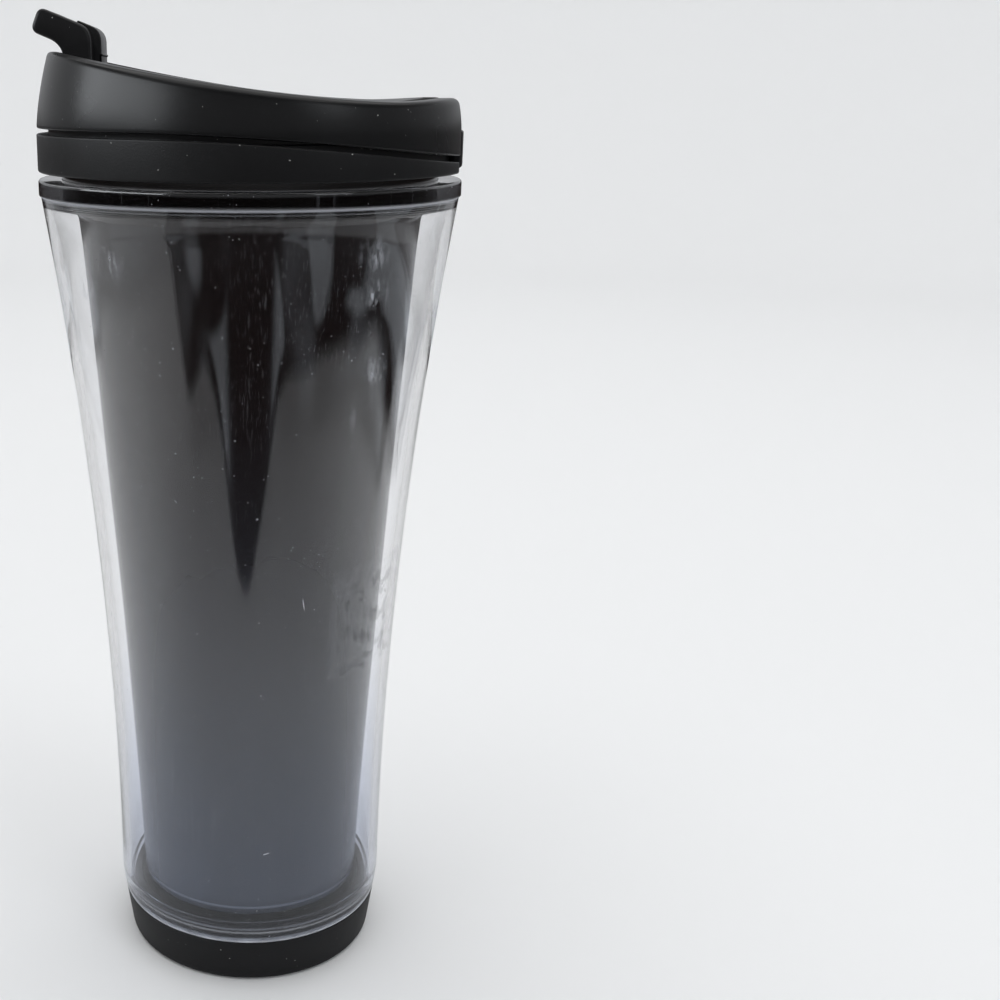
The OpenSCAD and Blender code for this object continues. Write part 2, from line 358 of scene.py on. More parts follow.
def footShape():
    top = footHigh[0]
    low = top - foot["lean"]
    plug = top - shell["wall"] - shell["fit"]
    plugTop = footHigh[2]
    ledge = low - foot["round"] - foot["wall"]
    wall = foot["wall"]
    recess = foot["recess"]
    return lathe(rounded([
        (0, recess, 0), (ledge, recess, 0.4), (ledge + recess / 2, 0, 0.3),
        (low, 0, foot["round"]), (top, footTop, foot["topRound"]), (plug, footTop, 0.1),
        (plug, plugTop, 0.4), (plug - wall, plugTop, 0.4),
        (plug - wall, recess + wall, 0.6), (0, recess + wall, 0)], closed=False), 192, ring=False)


# lid

baseLow, baseHigh = nodeBox("lid_base")
capHigh = nodeBox("lid_cap")[1]
leverLow, leverHigh = nodeBox("flip_lever")
gasketLow, gasketHigh = nodeBox("lid_gasket")
lidRadius = baseHigh[0]
lid = {
    "gap": 1.5, "ringHigh": 7.6, "ringLow": 2.0, "seam": 1.15, "deck": 1.7, "deckGap": 0.1,
    "core": 41.8, "coreIn": 39.8, "plug": 36.6, "plugWall": 1.8,
    "tongue": 22.5, "tongueIn": 42.0, "tongueLift": 1.0, "tongueUp": 1.6, "tailGap": 1.95,
    "drinkAcross": 14.0, "drinkAlong": 8.0, "drinkFrom": 31.8, "vent": 0.9, "nickLift": 0.3,
}
lidZ = cupTop + lid["gap"]
deckZ = gasketHigh[2] + lid["deck"] + lid["deckGap"]


def ringTop(x):                         # the swept edge between the ring and the cap
    t = max(0, (x + lidRadius / 2) / (1.5 * lidRadius))
    return lidZ + lid["ringHigh"] - (lid["ringHigh"] - lid["ringLow"]) * t ** 1.8


def ringSection(turn, amount):
    x = lidRadius * math.cos(turn)
    top = ringTop(x)
    inner = lid["core"] - 0.1
    outline = rounded([(inner, lidZ, 0.2), (lidRadius, lidZ, 0.55),
                       (lidRadius, top, 0.3), (inner, top, 0.2)])
    return [(p.x * math.cos(turn), p.x * math.sin(turn), p.y) for p in inset(outline, amount)]


def ringShape():
    start = math.asin((lid["tongue"] / 2 + lid["tailGap"]) / lidRadius)
    ends = [(d / lidRadius, e) for d, e in roundEnd(0.5)]
    turns = [(start + d, e) for d, e in ends]
    turns += [(t, 0) for t in spread(turns[-1][0], 2 * math.pi - turns[-1][0], 220)[1:-1]]
    turns += [(2 * math.pi - start - d, e) for d, e in reversed(ends)]
    return loft([ringSection(t, e * 0.9) for t, e in turns])


def tongueShape():
    half = math.asin(lid["tongue"] / 2 / lidRadius)
    low = lidZ + lid["tongueLift"]
    high = deckZ + lid["tongueUp"]
    ends = [(d / lidRadius, e) for d, e in roundEnd(0.6)]
    turns = [(-half + d, e) for d, e in ends]
    turns += [(t, 0) for t in spread(turns[-1][0], -turns[-1][0], 24)[1:-1]]
    turns += [(half - d, e) for d, e in reversed(ends)]
    outline = rounded([(lid["tongueIn"], low, 0.3), (lidRadius, low, 0.6),
                       (lidRadius, high, 0.5), (lid["tongueIn"], high, 0.6)])
    sections = []
    for turn, amount in turns:
        section = inset(outline, amount * 0.9)
        sections.append([(p.x * math.cos(turn), p.x * math.sin(turn), p.y) for p in section])
    return loft(sections)


def coreShape():                        # deck, wall round the neck, and the screw plug
    deckLow = deckZ - lid["deck"]
    plugIn = lid["plug"] - lid["plugWall"]
    return lathe(rounded([
        (0, deckZ, 0), (lid["core"], deckZ, 0.3), (lid["core"], lidZ, 0.3), (lid["coreIn"], lidZ, 0.3),
        (lid["coreIn"], deckLow, 0.3), (lid["plug"], deckLow, 0.3), (lid["plug"], baseLow[2], 0.5),
        (plugIn, baseLow[2], 0.5), (plugIn, deckLow, 0.8), (0, deckLow, 0)], closed=False), 192, ring=False)


thread = {"low": 173.2, "high": 180.0, "pitch": 3.0, "height": 0.7}


def threadShape():
    radius, low, height = lid["plug"], thread["low"], thread["height"]
    high = thread["high"]
    turns = (high - low) / thread["pitch"]
    steps = int(turns * 90)
    sections = []
    for i in range(steps + 1):
        t = i / steps
        turn = 2 * math.pi * turns * t
        grow = min(1, t * 12, (1 - t) * 12)
        z = low + (high - low) * t
        outline = [(radius - 0.3, z - 0.9), (radius + height * grow, z - 0.25),
                   (radius + height * grow, z + 0.25), (radius - 0.3, z + 0.9)]
        sections.append([(r * math.cos(turn), r * math.sin(turn), h) for r, h in outline])
    return loft(sections)


drinkX = -(lid["drinkFrom"] - lid["drinkAlong"] / 2 - 1)


def slotShape(clear, low, high, roundLow=0.0, roundHigh=0.0):
    radius = lid["drinkAlong"] / 2 - clear
    reach = (lid["drinkAcross"] - lid["drinkAlong"]) / 2
    outline = []
    for side in (1, -1):
        for k in range(17):
            turn = math.pi * k / 16
            outline.append(Vector((side * radius * math.cos(turn), side * (reach + radius * math.sin(turn)))))
    levels = [(low + d, e) for d, e in roundEnd(roundLow)] if roundLow else [(low, 0)]
    levels += [(high - d, e) for d, e in reversed(roundEnd(roundHigh))] if roundHigh else [(high, 0)]
    return loft([[(drinkX + p.x, p.y, z) for p in inset(outline, e)] for z, e in levels])


cap = {
    "radius": capHigh[1], "leanFrom": 188.0, "lean": 2.9, "inner": 41.95, "crestRadius": 39.7,
    "crestLow": 14.1, "crestRise": 9.2, "crestLowX": 28.0, "dishDepth": 4.3, "dishRim": 4.9,
    "shoulder": 2.7, "rimRound": 1.3, "dishFrom": 31.0, "channel": 22.7, "edgeRound": 0.9,
    "bottomOver": 0.15,
}
mouth = lidRadius - cap["dishRim"]


def crest(x):
    t = abs(cap["crestLowX"] - x) / (cap["crestLowX"] + mouth)
    return lidZ + cap["crestLow"] + cap["crestRise"] * t ** 1.55


dishTilt = (crest(0) - crest(mouth)) / mouth


def dishZ(x, y):
    r = math.hypot(x, y)
    plain = crest(0) + cap["dishDepth"] * ((r / mouth) ** 2.4 - 1) - x * dishTilt
    if r > cap["dishFrom"]:             # the dish climbs to the rim
        edge = cap["crestRadius"]
        xEdge = x * edge / r
        plainEdge = crest(0) + cap["dishDepth"] * ((edge / mouth) ** 2.4 - 1) - xEdge * dishTilt
        t = (r - cap["dishFrom"]) / (edge - cap["dishFrom"])
        plain += (crest(xEdge) - plainEdge) * t ** 2.3
    return plain


def capWall(z):
    t = max(0, (z - cap["leanFrom"]) / (capHigh[2] - cap["leanFrom"]))
    return cap["radius"] - cap["lean"] * t ** 1.5


def capProfile(turn):                   # rows of (radius, height), from the inner lip to the dish
    x = 41.5 * math.cos(turn)
    top = crest(x)
    seam = ringTop(cap["radius"] * math.cos(turn)) + lid["seam"]
    bottom = deckZ + cap["bottomOver"]
    edge = cap["crestRadius"]
    wallTop = top - cap["shoulder"] - 0.6
    wall = [(capWall(z), z, 0) for z in spread(seam + 0.8, wallTop, 6)]
    outer = rounded([(cap["inner"], bottom, 0), (cap["inner"], seam, 0.3), (cap["radius"], seam, 0.45)]
                    + wall + [(capWall(top), top, cap["shoulder"]), (edge, top, 0)], closed=False)
    return [(p.x, p.y) for p in outer]


def capShape():
    half = cap["channel"] / 2
    soft = cap["edgeRound"]
    ends = roundEnd(soft)
    outerRows = len(capProfile(1.0))
    radii = spread(cap["crestRadius"], cap["dishFrom"], 12)[1:]
    shrink = spread(1, 0, 18)[1:]
    columns = [("start", d, e) for d, e in ends]
    columns += [("mid", t, 0) for t in spread(0, 1, 110)[1:-1]]
    columns += [("end", d, e) for d, e in reversed(ends)]

    def angle(column, r):
        kind, value, _ = column
        if kind == "start":
            return math.asin((half + value) / r)
        if kind == "end":
            return math.pi - math.asin((half + value) / r)
        first = math.asin((half + soft) / r)
        return first + (math.pi - 2 * first) * value

    verts = []
    rows = []

    def addRow(points):
        rows.append(list(range(len(verts), len(verts) + len(points))))
        verts.extend(points)

    profiles = [capProfile(angle(column, 42.5)) for column in columns]
    for v in range(outerRows):
        points = []
        for column, profile in zip(columns, profiles):
            r, z = profile[v]
            turn = angle(column, r)
            x, y = r * math.cos(turn), r * math.sin(turn)
            if column[0] == "start" and v > 1:
                before, after = profile[v - 1], profile[min(v + 1, outerRows - 1)]
                slope = Vector((after[1] - before[1], -(after[0] - before[0]))).normalized()
                x -= slope.x * column[2]
                z -= max(0, slope.y) * column[2]
            points.append((x, y, z))
        addRow(points)
    for r in radii:                     # the climb from the rim into the dish
        points = []
        fade = min(1, (cap["crestRadius"] - r) / 2)
        for column in columns:
            turn = angle(column, r)
            x, y = r * math.cos(turn), r * math.sin(turn)
            drop = column[2] * (fade if column[0] == "end" else 1)
            points.append((x, y, dishZ(x, y) - drop))
        addRow(points)
    base = [verts[i] for i in rows[-1]]
    for k in shrink:                    # the dish, drawn in to the middle of its straight side
        points = []
        for column, (x0, y0, _) in zip(columns, base):
            x = x0 * k
            y = half + column[1] if column[0] != "mid" else half + soft + (y0 - half - soft) * k
            points.append((x, y, dishZ(x, y) - column[2]))
        addRow(points)
    count = len(columns)
    faces = []
    for a, b in zip(rows, rows[1:]):
        faces += [(a[c], a[c + 1], b[c + 1], b[c]) for c in range(count - 1)]
    size = len(verts)
    verts += [(x, -y, z) for x, y, z in verts]
    faces += [tuple(i + size for i in reversed(face)) for face in faces]

    # the rim behind the tab, and the wall down from it
    bridge = 12
    bridgeRows = []
    down = rounded([(1.5, 0, 0), (0, 0, cap["rimRound"]), (0, -4, 0)], closed=False)[1:-1]
    for v in range(outerRows):
        near = rows[v][-1]
        r = math.hypot(verts[near][0], verts[near][1])
        start = math.atan2(verts[near][1], verts[near][0])
        line = [near]
        for k in range(1, bridge):
            turn = start + (2 * math.pi - 2 * start) * k / bridge
            profile = capProfile(turn)
            verts.append((profile[v][0] * math.cos(turn), profile[v][0] * math.sin(turn), profile[v][1]))
            line.append(len(verts) - 1)
        line.append(near + size)
        bridgeRows.append(line)
    topLine = bridgeRows[-1]
    bottom = deckZ + cap["bottomOver"]
    for drop in (0.5, 1.5, None):
        line = []
        for i in topLine:
            x, y, z = verts[i]
            verts.append((x, y, bottom if drop is None else z - drop))
            line.append(len(verts) - 1)
        bridgeRows.append(line)
    for a, b in zip(bridgeRows, bridgeRows[1:]):
        faces += [(a[c], a[c + 1], b[c + 1], b[c]) for c in range(bridge)]

    # the flat sides of the lever's channel, and the underside
    for flip in (0, size):
        inner = rows[::-1][:len(radii) + len(shrink)]
        edge = [row[0] + flip for row in rows] + [row[-1] + flip for row in inner]
        end = 0 if flip == 0 else -1
        edge += [line[end] for line in bridgeRows[outerRows - 1:]]
        faces.append(tuple(edge))
    under = rows[0] + bridgeRows[0][1:-1] + [i + size for i in rows[0][::-1]]
    under += [bridgeRows[-1][c] for c in range(bridge, -1, -1)]
    faces.append(tuple(under))
    return verts, faces


# flip lever

lever = {
    "width": 19.5, "pivotX": 7.8, "pivotZ": 188.8, "barrel": 2.4, "pin": 1.2, "pinEnd": 12.55,
    "armLow": 186.6, "armHigh": 190.3, "out": 37.4, "inner": 31.8, "proud": 1.7, "panel": 11.5,
    "tilt": 22.0, "tabThick": 5.0, "tip": 1.7, "edge": 0.7, "corner": 4.0, "ribs": (196.4, 199.4, 202.4),
    "wrap": 0.45, "wrapEnd": 35.0,
}


def leverSlice(outline, y, amount):
    return [(p.x, y, p.y) for p in inset(outline, amount)]


def sidePlate(outline, width, soft):
    half = width / 2
    levels = [(-half + d, e) for d, e in roundEnd(soft)]
    levels += [(half - d, e) for d, e in reversed(roundEnd(soft))]
    return loft([leverSlice(outline, y, e) for y, e in levels])


def leverShape():
    tilt = math.radians(lever["tilt"])
    thick = lever["tabThick"] / 2
    tipX = leverLow[0] + thick
    tipZ = leverHigh[2] - thick
    up = Vector((math.sin(tilt), math.cos(tilt)))
    along = Vector((math.cos(tilt), -math.sin(tilt)))
    tip = Vector((tipX, tipZ))
    topNear = tip + up * thick
    lowNear = tip - up * thick
    topMeet = topNear + along * ((-lever["inner"] - topNear.x) / along.x)
    lowMeet = lowNear + along * ((-lever["out"] - lowNear.x) / along.x)
    body = rounded([
        (lever["pivotX"], lever["armLow"], 0), (-lever["out"], lever["armLow"], 1.2),
        (lowMeet.x, lowMeet.y, 4.5), (lowNear.x - along.x * thick, lowNear.y - along.y * thick, lever["tip"]),
        (topNear.x - along.x * thick, topNear.y - along.y * thick, lever["tip"]),
        (topMeet.x, topMeet.y, lever["corner"]), (-lever["inner"], lever["armHigh"], 1.2),
        (lever["pivotX"], lever["armHigh"], 0)], steps=8)
    face = -lever["inner"] + lever["proud"]
    ribs = []
    for z in lever["ribs"]:
        ribs += [(face, z - 0.3, 0.08), (face + 0.22, z - 0.1, 0.08),
                 (face + 0.22, z + 0.1, 0.08), (face, z + 0.3, 0.08)]
    over = topMeet + up * lever["wrap"]              # the panel follows the top corner and fades out
    start = over + along * ((face - over.x) / along.x)
    end = over + along * ((-lever["wrapEnd"] - over.x) / along.x)
    panel = rounded(
        [(-lever["inner"] - 1.5, lever["armHigh"] - 1, 0.2), (face, lever["armHigh"] - 0.4, 0.3)] + ribs
        + [(start.x, start.y, 5.6), (end.x, end.y, 0.4), (end.x + 0.3, end.y - 2, 0.2)], steps=6)
    barrel = [Vector((lever["barrel"] * math.cos(t), lever["barrel"] * math.sin(t)))
              for t in spread(0, 2 * math.pi, 40)[:-1]]
    pin = [Vector((lever["pin"] * math.cos(t), lever["pin"] * math.sin(t)))
           for t in spread(0, 2 * math.pi, 24)[:-1]]

    def atPivot(loop):
        return [p + Vector((lever["pivotX"], lever["pivotZ"])) for p in loop]

    return joined(sidePlate(body, lever["width"], lever["edge"]),
                  sidePlate(panel, lever["panel"], 0.35),
                  sidePlate(atPivot(barrel), lever["width"], 0.9),
                  sidePlate(atPivot(pin), 2 * lever["pinEnd"], 0.2))


def gasketShape():
    return lathe(rounded([(36.7, gasketLow[2], 0.4), (gasketHigh[0], gasketLow[2], 0.4),
                          (gasketHigh[0], gasketHigh[2], 0.4), (36.7, gasketHigh[2], 0.4)]), 128)


def stopperShape():
    plugLow, plugHigh = nodeBox("spout_plug")
    under = lever["armLow"]
    stud = [(1.75, under - 0.2, 0), (1.75, plugHigh[2], 0.4), (0, plugHigh[2], 0), (0, under - 0.2, 0)]
    studVerts, studFaces = lathe(rounded(stud), 32)
    studVerts = [(x + drinkX, y, z) for x, y, z in studVerts]
    return joined(slotShape(-0.8, under - 0.5, under, 0.2, 0.15),
                  slotShape(0.4, plugLow[2], under - 0.3, 0.5), (studVerts, studFaces))


# finishes

clear = {
    # the second tint is painted shade: darker and bluer towards the base, for the dark foot and liner seen
    # through the wall
    "tint": (0.982, 0.984, 0.993), "paintedLowDark": (0.77, 0.8, 0.88),
    "scuffAndHighlightTint": (0.6, 0.62, 0.68), "inkTint": (0.07, 0.07, 0.075),
    "collarPaintedDark": (0.08, 0.08, 0.085),     # painted dark: the clear plastic is darkened here for the dark neck seen in the collar's depth
    # painted highlights: thin pale lines at the collar's lower edge and above the toe (height, strength)
    "highlightRings": [(cupTop - shell["collar"], 0.4), (footTop + 3.0, 0.28)],
    "scuffs": [                         # place, size, strength
        ((-0.0272, -0.031, 0.164), 0.005, 0.45), ((-0.032, -0.026, 0.158), 0.004, 0.35),
        ((0.0235, -0.034, 0.166), 0.0045, 0.6), ((0.0245, -0.0335, 0.158), 0.004, 0.5),
        ((0.0255, -0.031, 0.142), 0.005, 0.4), ((0.0235, -0.032, 0.134), 0.006, 0.25),
        ((0.029, 0.032, 0.161), 0.017, 0.95), ((0.036, 0.023, 0.165), 0.012, 0.7),
        ((0.022, 0.036, 0.152), 0.012, 0.8),
        ((0.042, -0.007, 0.157), 0.007, 0.4), ((0.041, -0.010, 0.150), 0.007, 0.45),
        ((-0.036, 0.022, 0.150), 0.010, 0.5), ((-0.015, 0.038, 0.140), 0.008, 0.45),
        ((-0.040, -0.006, 0.120), 0.008, 0.3),
    ],
    "scratches": [                      # start, end, width
        ((0.0190, -0.0262, 0.0480), (0.0105, -0.0302, 0.0300), 0.00010),
        ((0.0035, -0.0316, 0.0590), (0.0045, -0.0315, 0.0592), 0.00016),
        ((0.0030, -0.0311, 0.0340), (0.0042, -0.0311, 0.0343), 0.00014),
        ((-0.0105, -0.0302, 0.0800), (-0.0103, -0.0303, 0.0812), 0.00014),
        ((-0.0060, -0.0375, 0.1390), (-0.0050, -0.0377, 0.1390), 0.00016),
        ((0.0010, -0.0380, 0.1390), (0.0022, -0.0380, 0.1391), 0.00016),
        ((0.0367, 0.0067, 0.1215), (0.0356, 0.0018, 0.1105), 0.00022),
        ((-0.004, -0.0325, 0.047), (0.007, -0.0335, 0.066), 0.00012),
        ((0.012, -0.032, 0.088), (0.010, -0.033, 0.100), 0.00010),
    ],
    "ghost": {"from": 0.30, "to": 1.06, "low": 0.074, "high": 0.100, "edge": 0.0025},
}


def clearPlastic():
    paint = Paint("clearAcrylic")
    x, y, z = paint.axes()
    fine = paint.grain(1100.0, 4.0, paint.stretched((1, 1, 0.4)))
    cloud = paint.grain(230.0, 3.0, paint.stretched((1, 1, 0.6)))
    rubbed = paint.within(fine * 0.6 + cloud * 0.6, 0.58, 0.78)
    wearAndHighlightMask = paint.add("ShaderNodeValue")
    wearAndHighlightMask.socket.default_value = 0
    for centre, size, strength in clear["scuffs"]:
        wearAndHighlightMask = paint.maths("MAXIMUM", wearAndHighlightMask, paint.spot(centre, size, 0.9) * strength)
    wearAndHighlightMask = wearAndHighlightMask * rubbed
    for start, end, width in clear["scratches"]:
        wearAndHighlightMask = paint.maths("MAXIMUM", wearAndHighlightMask, paint.stroke(start, end, width) * 0.8)
    hair = paint.grain(2600.0, 1.0, paint.stretched((1, 1, 0.012), (0.06, 0.04, 0)))
    hair = paint.within(hair, 0.62, 0.75) * paint.within(paint.grain(45.0, 2.0), 0.4, 0.7) * 0.06
    lint = paint.within(paint.grain(2400.0, 0.0), 0.85, 0.87) * 0.5
    lipAndHighlightRings = 1 - paint.within(z, footTop * mm + 0.0005, footTop * mm + 0.001)
    lipAndHighlightRings = lipAndHighlightRings * (cloud * 0.9 + 0.15)
    for height, strength in clear["highlightRings"]:                      # painted highlights: thin pale lines where moulded edges would catch the light
        away = paint.maths("ABSOLUTE", z - height * mm)
        lipAndHighlightRings = paint.maths("MAXIMUM", lipAndHighlightRings, (1 - paint.within(away, 0.0001, 0.0004)) * strength)
    for layer in (hair, lint, lipAndHighlightRings):
        wearAndHighlightMask = paint.maths("MAXIMUM", wearAndHighlightMask, layer)
    zone = clear["ghost"]
    wobble = (cloud - 0.5) * zone["edge"]
    turn = paint.maths("ARCTAN2", 0 - y, x) + wobble * 25.0
    height = z + wobble
    ghost = paint.within(turn, zone["from"], zone["from"] + 0.05)
    ghost = ghost * (1 - paint.within(turn, zone["to"] - 0.05, zone["to"]))
    ghost = ghost * paint.within(height, zone["low"], zone["low"] + 0.001)
    ghost = ghost * (1 - paint.within(height, zone["high"] - 0.001, zone["high"]))
    ink = ghost * paint.within(paint.grain(260.0, 3.0), 0.53, 0.6)
    wearAndHighlightMask = paint.maths("MAXIMUM", wearAndHighlightMask, paint.maths("MAXIMUM", ghost * 0.03, ink * 0.22))
    wearAndHighlightMask = paint.maths("MINIMUM", wearAndHighlightMask, 0.9)
    # painted dark: the collar zone is darkened for the neck seen in its depth
    collar = paint.within(z, (cupTop - shell["ringDepth"]) * mm, (cupTop - shell["ringDepth"] + 1.5) * mm)
    # painted shade: the clear plastic turns darker and bluer towards the base
    body = paint.blend(paint.within(z, 0.01, 0.09), clear["paintedLowDark"], clear["tint"])
    gloss = paint.plastic({
        "Base Color": paint.blend(collar, body, clear["collarPaintedDark"]),
        "Roughness": 0.0, "IOR": 1.49, "Transmission Weight": 1.0,
        "Normal": paint.bump(paint.grain(70.0, 1.0, paint.stretched((1, 1, 0.15))), 0.0004, 0.2)})
    # a whitish rough finish for scuffs, scratches, lint, print and the lip, which also draws the painted
    # highlight lines
    wearAndHighlightFinish = paint.plastic({"Base Color": paint.blend(ink, clear["scuffAndHighlightTint"], clear["inkTint"]),
                          "Roughness": 0.6, "IOR": 1.49})
    return paint.finish(paint.add("ShaderNodeMixShader", None, {0: wearAndHighlightMask, 1: gloss, 2: wearAndHighlightFinish}))


def linerPlastic():
    paint = Paint("darkLiner")
    z = paint.axes()[2]
    # painted reflection: the liner is lighter and bluer towards the bottom, standing for the pale floor
    # reflected in it
    paintedFloorReflection = paint.within(z, 0.150, 0.0)
    streak = paint.grain(90.0, 3.0, paint.stretched((1, 1, 0.06)))
    paintedFloorReflection = paintedFloorReflection * (streak * 0.5 + 0.75)
    color = paint.blend(paintedFloorReflection, (0.006, 0.004, 0.004), (0.055, 0.063, 0.080))
    # painted highlight: a thin pale line along the floor's rounded edge
    edge = paint.maths("ABSOLUTE", z - (linerLow[2] + liner["floorRound"]) * mm)
    color = paint.blend((1 - paint.within(edge, 0.0, 0.0005)) * 0.7, color, (0.2, 0.22, 0.26))
    wave = paint.grain(45.0, 1.0, paint.stretched((1, 1, 0.2)))
    shader = paint.plastic({"Base Color": color, "Roughness": streak * 0.1 + 0.08, "IOR": 1.62,
                            "Normal": paint.bump(wave, 0.0006, 0.35)})
    return paint.finish(shader)


def blackPlastic(name, tone, rough, grainSize, grainDepth, dust=0.0, shine=0.22, nicks=()):
    paint = Paint(name)
    speckle = paint.grain(grainSize, 3.0)
    smear = paint.grain(60.0, 3.0)
    speck = paint.within(paint.grain(2200.0, 0.0), 0.87, 0.885)
    for centre, size in nicks:
        speck = paint.maths("MAXIMUM", speck, paint.spot(centre, size))
    color = paint.blend(smear, tuple(c * 0.75 for c in tone), tuple(c * 1.3 for c in tone))
    shader = paint.plastic({
        "Base Color": paint.blend(speck, color, (0.3, 0.3, 0.29)),
        "Roughness": smear * 0.14 + (rough - 0.07), "Sheen Weight": dust, "Sheen Roughness": 0.4,
        "Specular IOR Level": shine,
        "Normal": paint.bump(speckle, grainDepth)})
    return paint.finish(shader)


# the floor's painted reflections: 'shade' darkens the cloth toward the front, and 'dark', 'patch' and
# 'bowlTone' glow beyond it, in reflections only
studio = {
    "pale": (0.8, 0.805, 0.81), "clothEdge": 0.26, "clothWave": 0.16, "clothOut": 0.06,
    "gap": 0.10, "gapWidth": 0.36, "shade": 0.42, "cloth": 0.3,
    "dark": (0.022, 0.016, 0.015), "patch": (0.55, 0.585, 0.63), "patchFrom": 1.12,
    "ring": 0.56, "wallsFrom": 0.56, "bowlTone": (0.55, 0.56, 0.58),
}


def studioFloor():                      # pale to look at; in reflections only, a painted reflection: a white cloth with painted shade toward the front, and beyond it an emission that glows as a dim room with pale patches
    paint = Paint("paleFloorPaintedReflections")
    flat = paint.add("ShaderNodeVectorMath", {"operation": "MULTIPLY"}, {0: paint.place(), 1: (1, 1, 0)})
    away = paint.add("ShaderNodeVectorMath", {"operation": "LENGTH"}, {0: flat}, out="Value")
    around = paint.add("ShaderNodeVectorMath", {"operation": "NORMALIZE"}, {0: flat})
    split = paint.add("ShaderNodeSeparateXYZ", None, {0: around})
    toFront = 0 - Flow(paint, split.socket.node.outputs[1])
    gap = 1 - paint.within(paint.maths("ABSOLUTE", split), 0.0, studio["gapWidth"])
    gap = gap * paint.maths("GREATER_THAN", toFront, 0.0)        # the cloth ends nearer at its front
    # painted shade: in reflections the cloth is darkened toward the front
    shade = paint.within(toFront, 0.1, 0.95) * paint.within(away, 0.05, 0.26) * studio["shade"]
    wave = paint.grain(1.5, 1.0, around)
    clothFrom = studio["clothEdge"] - studio["clothWave"] + studio["clothOut"]
    edge = wave * studio["clothWave"] * 2.0 + clothFrom - gap * studio["gap"]
    behind = paint.within(0 - toFront, 0.5, 0.75)
    wide = paint.maths("MAXIMUM", behind, paint.within(0 - split, 0.62, 0.82))
    edge = edge + wide * studio["cloth"]                         # and runs on behind and to the left
    beyond = paint.within(away / edge, 0.98, 1.1)
    outward = paint.add("ShaderNodeCombineXYZ", None, {2: away * 5.0})
    drift = paint.add("ShaderNodeVectorMath", {"operation": "MULTIPLY_ADD"},
                      {0: around, 1: (1.7, 1.7, 1), 2: outward})
    patches = paint.within(paint.grain(1.0, 1.0, drift), 0.46, 0.5) * (1 - paint.within(gap, 0.1, 0.4))
    patches = patches * paint.within(away / edge, studio["patchFrom"], studio["patchFrom"] + 0.05)
    # painted reflection: beyond the cloth an emission glows dark, with pale patches and a paler far band
    paintedRoom = paint.blend(patches, studio["dark"], studio["patch"])
    paintedRoom = paint.blend(paint.within(away, studio["ring"], studio["ring"] + 0.5), paintedRoom, studio["bowlTone"])
    # painted dark band: the low part of the bowl's wall glows dark in reflections
    paintedDarkBand = paint.within(away, 1.1, 1.3) * (1 - paint.within(paint.axes()[2], 0.16, 0.26))
    paintedRoom = paint.blend(paintedDarkBand, paintedRoom, studio["dark"])
    reflected = paint.maths("GREATER_THAN", paint.add("ShaderNodeLightPath", out="Glossy Depth"), 0.5)
    depth = paint.add("ShaderNodeLightPath", out="Transmission Depth")
    passed = paint.maths("GREATER_THAN", depth, 0.5) * paint.maths("LESS_THAN", depth, 2.5)
    far = paint.within(away, studio["wallsFrom"], studio["wallsFrom"] + 0.08)
    reflected = reflected * (1 - far * passed)           # clear walls lead in the pale distance
    pale = paint.plastic({"Base Color": studio["pale"], "Roughness": 0.8})
    paintedRoomGlow = paint.add("ShaderNodeEmission", None, {"Color": paintedRoom})
    # where the painted room and the painted shade replace the pale floor, in reflections only
    showsPaintedRoom = paint.maths("MAXIMUM", beyond, shade) * reflected
    return paint.finish(paint.add("ShaderNodeMixShader", None, {0: showsPaintedRoom, 1: pale, 2: paintedRoomGlow}))


tongueNicks = [(-0.0082, 0.0005), (-0.0061, 0.0003), (-0.0035, 0.0004),    # y, size
               (0.0012, 0.0003), (0.0049, 0.0005)]
nickZ = lidZ + lid["tongueLift"] + lid["nickLift"]
clearAcrylic = clearPlastic()
darkLiner = linerPlastic()
footBlack = blackPlastic("footBlack", (0.006, 0.006, 0.007), 0.5, 2500.0, 0.00003)
lidMatte = blackPlastic("lidMatte", (0.004, 0.004, 0.0045), 0.42, 3000.0, 0.00003, 0.04,
                        nicks=[((lidRadius * mm, y, nickZ * mm), size) for y, size in tongueNicks])
lidSatin = blackPlastic("lidSatin", (0.003, 0.003, 0.0034), 0.29, 3000.0, 0.000012, 0.05)
leverBlack = blackPlastic("leverBlack", (0.005, 0.005, 0.0055), 0.34, 3000.0, 0.00002, 0.02)
softSeal = blackPlastic("softSeal", (0.025, 0.025, 0.025), 0.7, 1500.0, 0.00002)

# pieces

outerShell = makePiece("outerShell", shellShape(), clearAcrylic, "cup", ["outer_shell"])
outerShell.visible_shadow = False       # light reaches the liner through it
makePiece("innerLiner", linerShape(), darkLiner, "cup", ["inner_liner"])
makePiece("baseFoot", footShape(), footBlack, "cup", ["base_foot"])
lidCore = makePiece("lidCore", coreShape(), lidMatte, "lid", ["lid_base"])
cutWith(lidCore, slotShape(0, deckZ - 3, deckZ + 1))
vent = [(0, deckZ - 3), (lid["vent"], deckZ - 3), (lid["vent"], deckZ + 1), (0, deckZ + 1)]
cutWith(lidCore, lathe([Vector(p) for p in vent], 32, ring=False))
makePiece("lidRing", joined(ringShape(), tongueShape(), threadShape()),
          lidMatte, "lid", ["lid_base"])
makePiece("lidCap", capShape(), lidSatin, "lid", ["lid_cap"])
makePiece("flipLever", leverShape(), leverBlack, "lever", ["flip_lever"])
makePiece("spoutPlug", stopperShape(), softSeal, "lever", ["spout_plug"])
makePiece("lidGasket", gasketShape(), softSeal, "lid", ["lid_gasket"])

# studio

bowl = {"flat": (0, 300, 700, 1200), "round": 700, "rim": 1200}      # the floor, and the wall it turns into


def floorShape():
    reach, bend = bowl["flat"][-1], bowl["round"]
    turns = spread(0, math.pi / 2, 16)[1:]
    profile = [(r, 0) for r in bowl["flat"]]
    profile += [(reach + bend * math.sin(t), bend - bend * math.cos(t)) for t in turns]
    profile += [(reach + bend, bowl["rim"])]
    return lathe([Vector(p) for p in profile], 96, ring=False)


floor = bpy.data.objects.new("floor", makeMesh("floor", floorShape()))
bpy.context.scene.collection.objects.link(floor)
floor.data.materials.append(studioFloor())


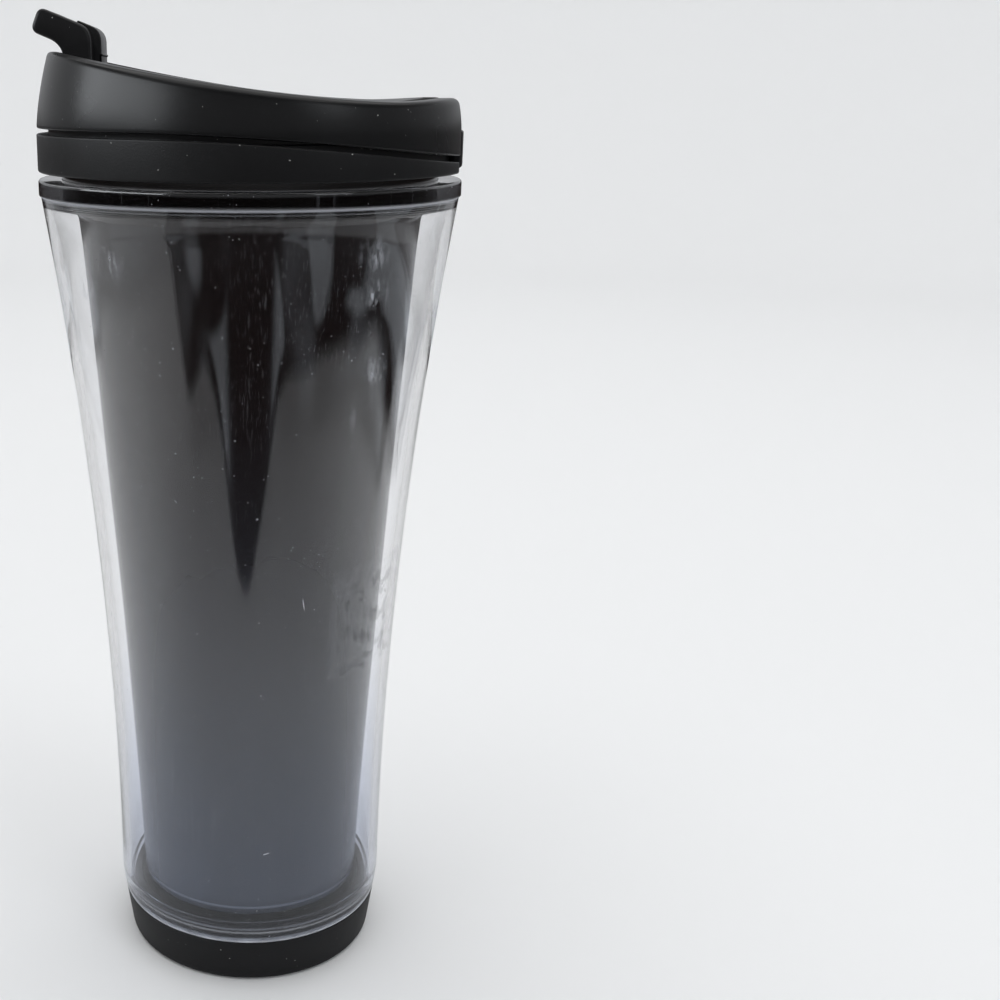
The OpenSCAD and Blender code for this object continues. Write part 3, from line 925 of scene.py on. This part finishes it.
def softLight(name, place, aim, size, power, tint, shines):
    data = bpy.data.lights.new(name, "AREA")
    data.shape = "RECTANGLE"
    data.size, data.size_y = size
    data.energy = power
    data.color = tint
    lamp = bpy.data.objects.new(name, data)
    lamp.location = place
    lamp.visible_transmission = False
    lamp.visible_diffuse = shines
    lamp.rotation_euler = (Vector(aim) - Vector(place)).to_track_quat("-Z", "Y").to_euler()
    bpy.context.scene.collection.objects.link(lamp)


lights = [                              # name, place, aim, size, power, tint, lights the floor
    ("overhead", (0, 0.2, 1.9), (0, 0, 0), (2.4, 2.4), 30, (1, 1, 1), True),
    ("leftWindow", (-1.15, -0.35, 0.62), (0, 0, 0.17), (1.3, 0.5), 13, (0.92, 0.96, 1), False),
    ("rightWindow", (0.9, -0.9, 0.8), (0, 0, 0.15), (0.5, 0.6), 2, (0.92, 0.96, 1), True),
]
for light in lights:
    softLight(*light)

air = {"pale": (0.87, 0.88, 0.89), "glow": 0.48, "reflected": 0.22}
world = bpy.data.worlds.new("studioAir")
world.use_nodes = True
airNodes = world.node_tree.nodes
background = airNodes["Background"]
background.inputs["Color"].default_value = (*air["pale"], 1)
path = airNodes.new("ShaderNodeLightPath")
level = airNodes.new("ShaderNodeMapRange")       # the room above is dimmer in reflections
level.inputs[3].default_value = air["glow"]
level.inputs[4].default_value = air["reflected"]
world.node_tree.links.new(path.outputs["Glossy Depth"], level.inputs[0])
world.node_tree.links.new(level.outputs[0], background.inputs["Strength"])
bpy.context.scene.world = world
bpy.context.scene.view_settings.view_transform = "Standard"

view = {"place": (0, -0.297, 0.196), "pitch": 16.8, "lens": 49.18, "shift": 0.25}
cameraData = bpy.data.cameras.new("camera")
cameraData.lens = view["lens"]
cameraData.sensor_width = 36
cameraData.shift_x = view["shift"]
cameraData.clip_start = 0.01
camera = bpy.data.objects.new("camera", cameraData)
camera.location = view["place"]
camera.rotation_euler = (math.radians(90 - view["pitch"]), 0, 0)
bpy.context.scene.collection.objects.link(camera)
bpy.context.scene.camera = camera
